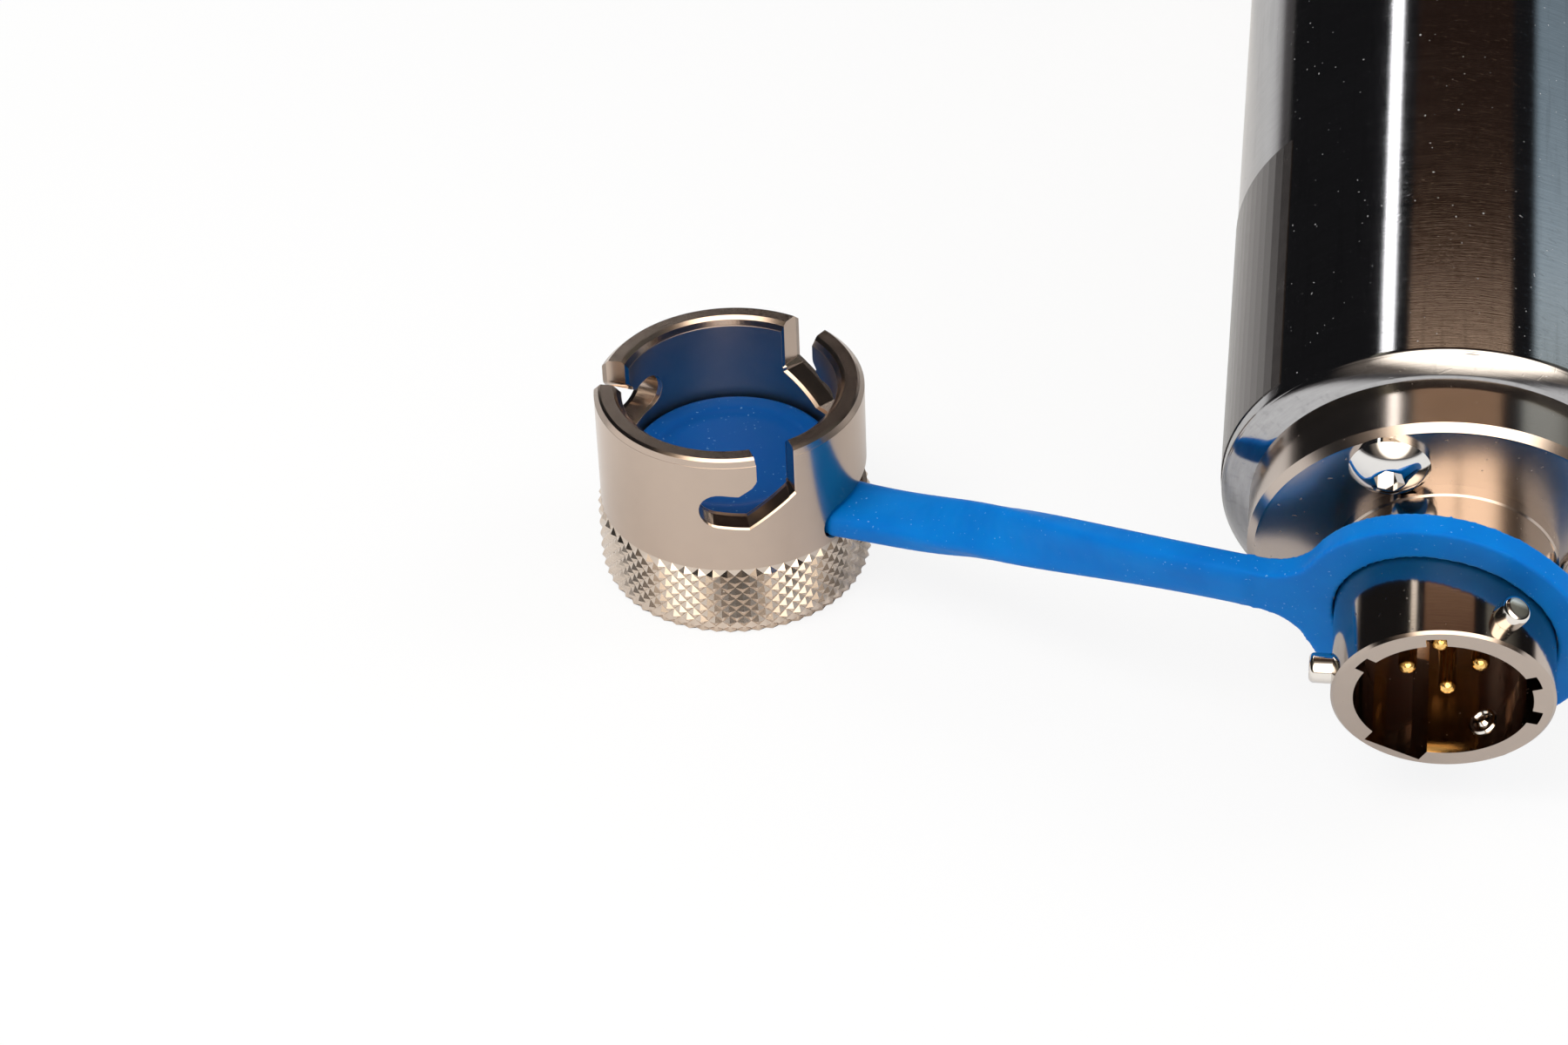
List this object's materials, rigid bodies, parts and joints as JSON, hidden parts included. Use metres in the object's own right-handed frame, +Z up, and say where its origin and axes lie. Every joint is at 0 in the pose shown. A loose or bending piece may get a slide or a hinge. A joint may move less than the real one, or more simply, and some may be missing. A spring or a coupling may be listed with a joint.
{
  "type": "water quality probe",
  "caption": "Stainless dissolved-oxygen probe with a bayonet receptacle, a tethered dust cap, a union nut and a screwed membrane sleeve.",
  "frame": {"origin": "centre of the connector face, on the probe axis; the probe lies connector low, so the bench is 8.81 mm below the origin", "axes": "+Z up from the bench; +Y the level direction from the connector towards the sensing tip, which rises 13.68 degrees from it; +X to the right for someone facing the connector, away from the cap"},
  "size_m": [0.0838, 0.1382, 0.0625],
  "materials": {
    "brushed_steel": "fine circumferential brushing, satin",
    "turned_steel": "fine turned, satin",
    "nickel": "satin nickel plate, warm",
    "bright_nickel": "bright nickel plate",
    "gold_contact": "gold plated, polished",
    "blue_silicone": "moulded silicone, slightly translucent, dusty",
    "insert_brown": "moulded insulator, dark brown, semi-gloss",
    "label_film": "clear polyester film label, bare",
    "black_seal": "moulded rubber, matte",
    "ptfe": "turned white plastic",
    "peek": "turned natural plastic, tan",
    "membrane_grey": "thin elastic membrane, satin",
    "glass_clear": "ground and polished",
    "platinum": "drawn wire",
    "silver_anode": "drawn silver tube",
    "board_green": "solder mask",
    "wire_red": "insulation",
    "wire_blue": "insulation",
    "epoxy_black": "epoxy bead"
  },
  "bodies": {
    "probe": {"head_tube": "brushed_steel", "film_label": "label_film", "connector_flange": "nickel", "flange_seal": "black_seal", "flange_screws": "bright_nickel", "receptacle_shell": "nickel", "receptacle_nut": "nickel", "bayonet_lugs": "bright_nickel", "contact_insert": "insert_brown", "contact_pins": "gold_contact", "lead_wires": "wire_red", "terminal_board": "board_green", "signal_wires": "wire_blue", "shaft": "turned_steel", "shaft_seal_ring": "black_seal", "sleeve_seal_ring": "black_seal", "electrode_body": "peek", "glass_rod": "glass_clear", "cathode": "platinum", "anode": "silver_anode", "thermistor": "epoxy_black"},
    "tether": {"tether": "blue_silicone"},
    "cap": {"cap_shell": "nickel"},
    "slide_ring": {"slide_ring": "ptfe"},
    "nut": {"union_nut": "turned_steel"},
    "membrane_module": {"membrane_body": "ptfe", "membrane": "membrane_grey", "membrane_seal_ring": "black_seal"},
    "sleeve": {"cap_sleeve": "turned_steel"}
  },
  "joints": [
    {"name": "tether_swivel", "type": "hinge", "parent": "probe", "child": "tether", "pos_m": [0, 0, 0], "axis": [0, 0.9716, 0.2365], "continuous": true},
    {"name": "cap_turn", "type": "hinge", "parent": "tether", "child": "cap", "pos_m": [-0.0412, 0.021, -0.00881], "axis": [0, 0, 1], "range_deg": [-26, 0.5]},
    {"name": "nut_slide", "type": "slide", "parent": "probe", "child": "slide_ring", "axis": [0, 0.9716, 0.2365], "range_m": [-0.05, 0]},
    {"name": "nut_spin", "type": "hinge", "parent": "slide_ring", "child": "nut", "pos_m": [0, 0.08356, 0.02034], "axis": [0, 0.9716, 0.2365], "continuous": true},
    {"name": "membrane_slide", "type": "slide", "parent": "probe", "child": "membrane_module", "axis": [0, 0.9716, 0.2365], "range_m": [0, 0.009]},
    {"name": "sleeve_turn", "type": "hinge", "parent": "membrane_module", "child": "sleeve", "pos_m": [0, 0.11281, 0.02746], "axis": [0, 0.9716, 0.2365], "range_deg": [0, 2160]}
  ],
  "couplings": [
    {"joint": "membrane_slide", "follows": "sleeve_turn", "m_per_rad": 0.00023873}
  ]
}
